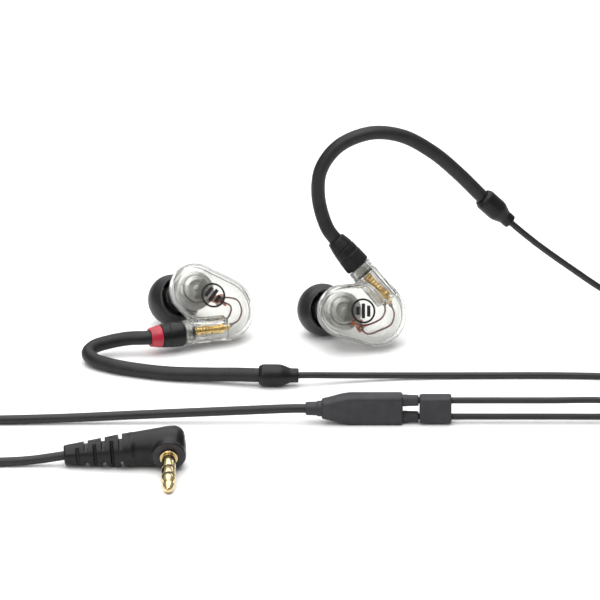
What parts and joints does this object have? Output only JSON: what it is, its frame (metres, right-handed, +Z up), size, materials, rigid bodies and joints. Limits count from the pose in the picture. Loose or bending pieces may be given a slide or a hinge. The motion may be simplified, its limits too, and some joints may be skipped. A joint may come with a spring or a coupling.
{
  "type": "in-ear monitors",
  "caption": "Pair of clear-cased in-ear stage monitors with black silicone tips, detachable over-ear cable with splitter and chin slider, and an angled 3.5 mm stereo plug.",
  "frame": {"origin": "middle of the lower edge of the cable's Y-splitter, on the table that the set lies on", "axes": "+X along the splitter, from the main cable towards the two earpiece cables; +Y from the plug towards the earpieces; +Z up"},
  "size_m": [0.2299, 0.128, 0.0545],
  "materials": {
    "clear_polycarbonate": "clear, polished",
    "black_silicone": "satin",
    "hook_sheath": "matte",
    "moulded_black": "matte",
    "cable_sheath": "satin",
    "red_marker": "satin",
    "pale_gold": "polished gold plate",
    "driver_steel": "brushed",
    "driver_film": "thin translucent film",
    "orange_board": "satin",
    "enamelled_wire": "enamelled copper",
    "white_insulator": "matte",
    "black_insulator": "matte"
  },
  "bodies": {
    "cable_set": {"right_connector_sleeve": "moulded_black", "right_connector_ring": "red_marker", "right_plug_barrel": "pale_gold", "right_plug_insulator": "white_insulator", "right_plug_pin": "pale_gold", "right_ear_hook": "hook_sheath", "right_hook_boot": "moulded_black", "right_branch_lead": "cable_sheath", "right_branch_coil": "cable_sheath", "right_branch_return": "cable_sheath", "left_connector_sleeve": "moulded_black", "left_connector_ring": "moulded_black", "left_plug_barrel": "pale_gold", "left_plug_insulator": "white_insulator", "left_plug_pin": "pale_gold", "left_ear_hook": "hook_sheath", "left_hook_boot": "moulded_black", "left_branch_lead": "cable_sheath", "left_branch_coil": "cable_sheath", "left_branch_return": "cable_sheath", "main_coil": "cable_sheath", "main_lead": "cable_sheath", "plug_lead": "cable_sheath", "splitter_body": "moulded_black", "plug_overmould": "moulded_black", "jack_collar": "pale_gold", "jack_sleeve": "pale_gold", "jack_ring": "pale_gold", "jack_tip": "pale_gold", "jack_rear_insulator": "black_insulator", "jack_front_insulator": "black_insulator"},
    "right_swivel": {"right_snap_ring": "driver_steel"},
    "right_earpiece": {"right_outer_cover": "clear_polycarbonate", "right_inner_shell": "clear_polycarbonate", "right_nozzle_screen": "driver_steel", "right_driver_frame": "driver_steel", "right_driver_magnet": "driver_steel", "right_driver_diaphragm": "driver_film", "right_terminal_board": "orange_board", "right_socket_ground_contact": "pale_gold", "right_socket_signal_contact": "pale_gold", "right_signal_wire": "enamelled_wire", "right_ground_wire": "enamelled_wire"},
    "right_tip": {"right_ear_tip": "black_silicone"},
    "left_swivel": {"left_snap_ring": "driver_steel"},
    "left_earpiece": {"left_outer_cover": "clear_polycarbonate", "left_inner_shell": "clear_polycarbonate", "left_nozzle_screen": "driver_steel", "left_driver_frame": "driver_steel", "left_driver_magnet": "driver_steel", "left_driver_diaphragm": "driver_film", "left_terminal_board": "orange_board", "left_socket_ground_contact": "pale_gold", "left_socket_signal_contact": "pale_gold", "left_signal_wire": "enamelled_wire", "left_ground_wire": "enamelled_wire"},
    "left_tip": {"left_ear_tip": "black_silicone"},
    "slider": {"chin_slider": "moulded_black"}
  },
  "joints": [
    {"name": "right_earpiece_swivel", "type": "hinge", "parent": "cable_set", "child": "right_swivel", "pos_m": [-0.04425, 0.0465, 0.00445], "axis": [-0.9306, -0.3657, 0.0146], "range_deg": [-90, 90]},
    {"name": "right_earpiece_pull_off", "type": "slide", "parent": "right_swivel", "child": "right_earpiece", "axis": [0.9306, 0.3657, -0.0146], "range_m": [0, 0.008]},
    {"name": "right_ear_tip_pull_off", "type": "slide", "parent": "right_earpiece", "child": "right_tip", "axis": [-0.4635, 0.7066, -0.5348], "range_m": [0, 0.006]},
    {"name": "left_earpiece_swivel", "type": "hinge", "parent": "cable_set", "child": "left_swivel", "pos_m": [-0.0007, 0.0531, 0.0196], "axis": [-0.6449, 0.1603, 0.7473], "range_deg": [-90, 90]},
    {"name": "left_earpiece_pull_off", "type": "slide", "parent": "left_swivel", "child": "left_earpiece", "axis": [0.6449, -0.1603, -0.7473], "range_m": [0, 0.008]},
    {"name": "left_ear_tip_pull_off", "type": "slide", "parent": "left_earpiece", "child": "left_tip", "axis": [-0.4214, 0.8469, -0.3244], "range_m": [0, 0.006]},
    {"name": "chin_slider_travel", "type": "slide", "parent": "cable_set", "child": "slider", "axis": [1, 0, 0], "range_m": [0, 0.03]}
  ]
}
